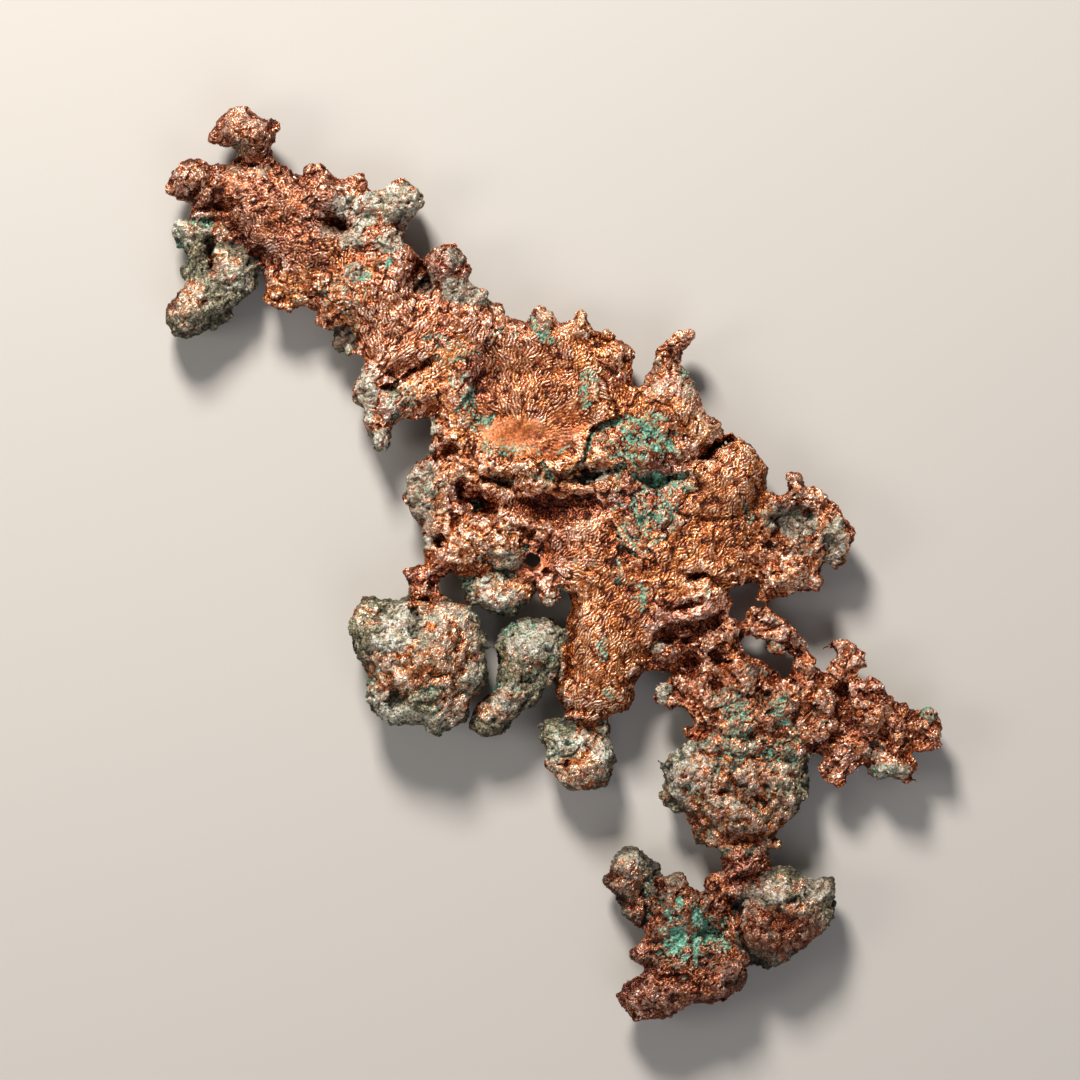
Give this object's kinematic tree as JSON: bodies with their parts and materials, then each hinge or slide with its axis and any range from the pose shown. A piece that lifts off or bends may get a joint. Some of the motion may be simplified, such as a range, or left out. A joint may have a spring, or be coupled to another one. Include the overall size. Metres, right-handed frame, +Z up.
{
  "type": "native copper nugget",
  "caption": "Branching sheet-like native copper specimen with rounded lumps of its rock grown into it, lying flat.",
  "frame": {"origin": "centre of the bounding box in plan, on the surface that the specimen lies on", "axes": "+Z up, away from the surface; +Y towards the upper limb, along the longest side of the box; +X towards the right-hand branch"},
  "size_m": [0.1558, 0.1835, 0.0186],
  "materials": {
    "native_copper": "crinkled bright native copper with green patina in its hollows",
    "dark_native_copper": "rough red-brown native copper with dark hollows",
    "ore_rock": "matte greenish rock with grains of copper",
    "pale_ore_rock": "matte pale grey rock with grains of copper"
  },
  "bodies": {
    "root": {"upper_limb": "native_copper", "main_plate": "native_copper", "lower_leg": "native_copper", "right_knob": "native_copper", "lower_right_branch": "dark_native_copper", "bottom_fork": "dark_native_copper", "upper_left_nodule": "pale_ore_rock", "stone_chip": "ore_rock", "inner_nodule": "pale_ore_rock", "big_nodule": "pale_ore_rock", "bean_nodule": "ore_rock", "foot_nodule": "pale_ore_rock", "shield_nodule": "ore_rock", "bottom_left_nodule": "pale_ore_rock", "bottom_right_nodule": "pale_ore_rock"}
  },
  "joints": []
}
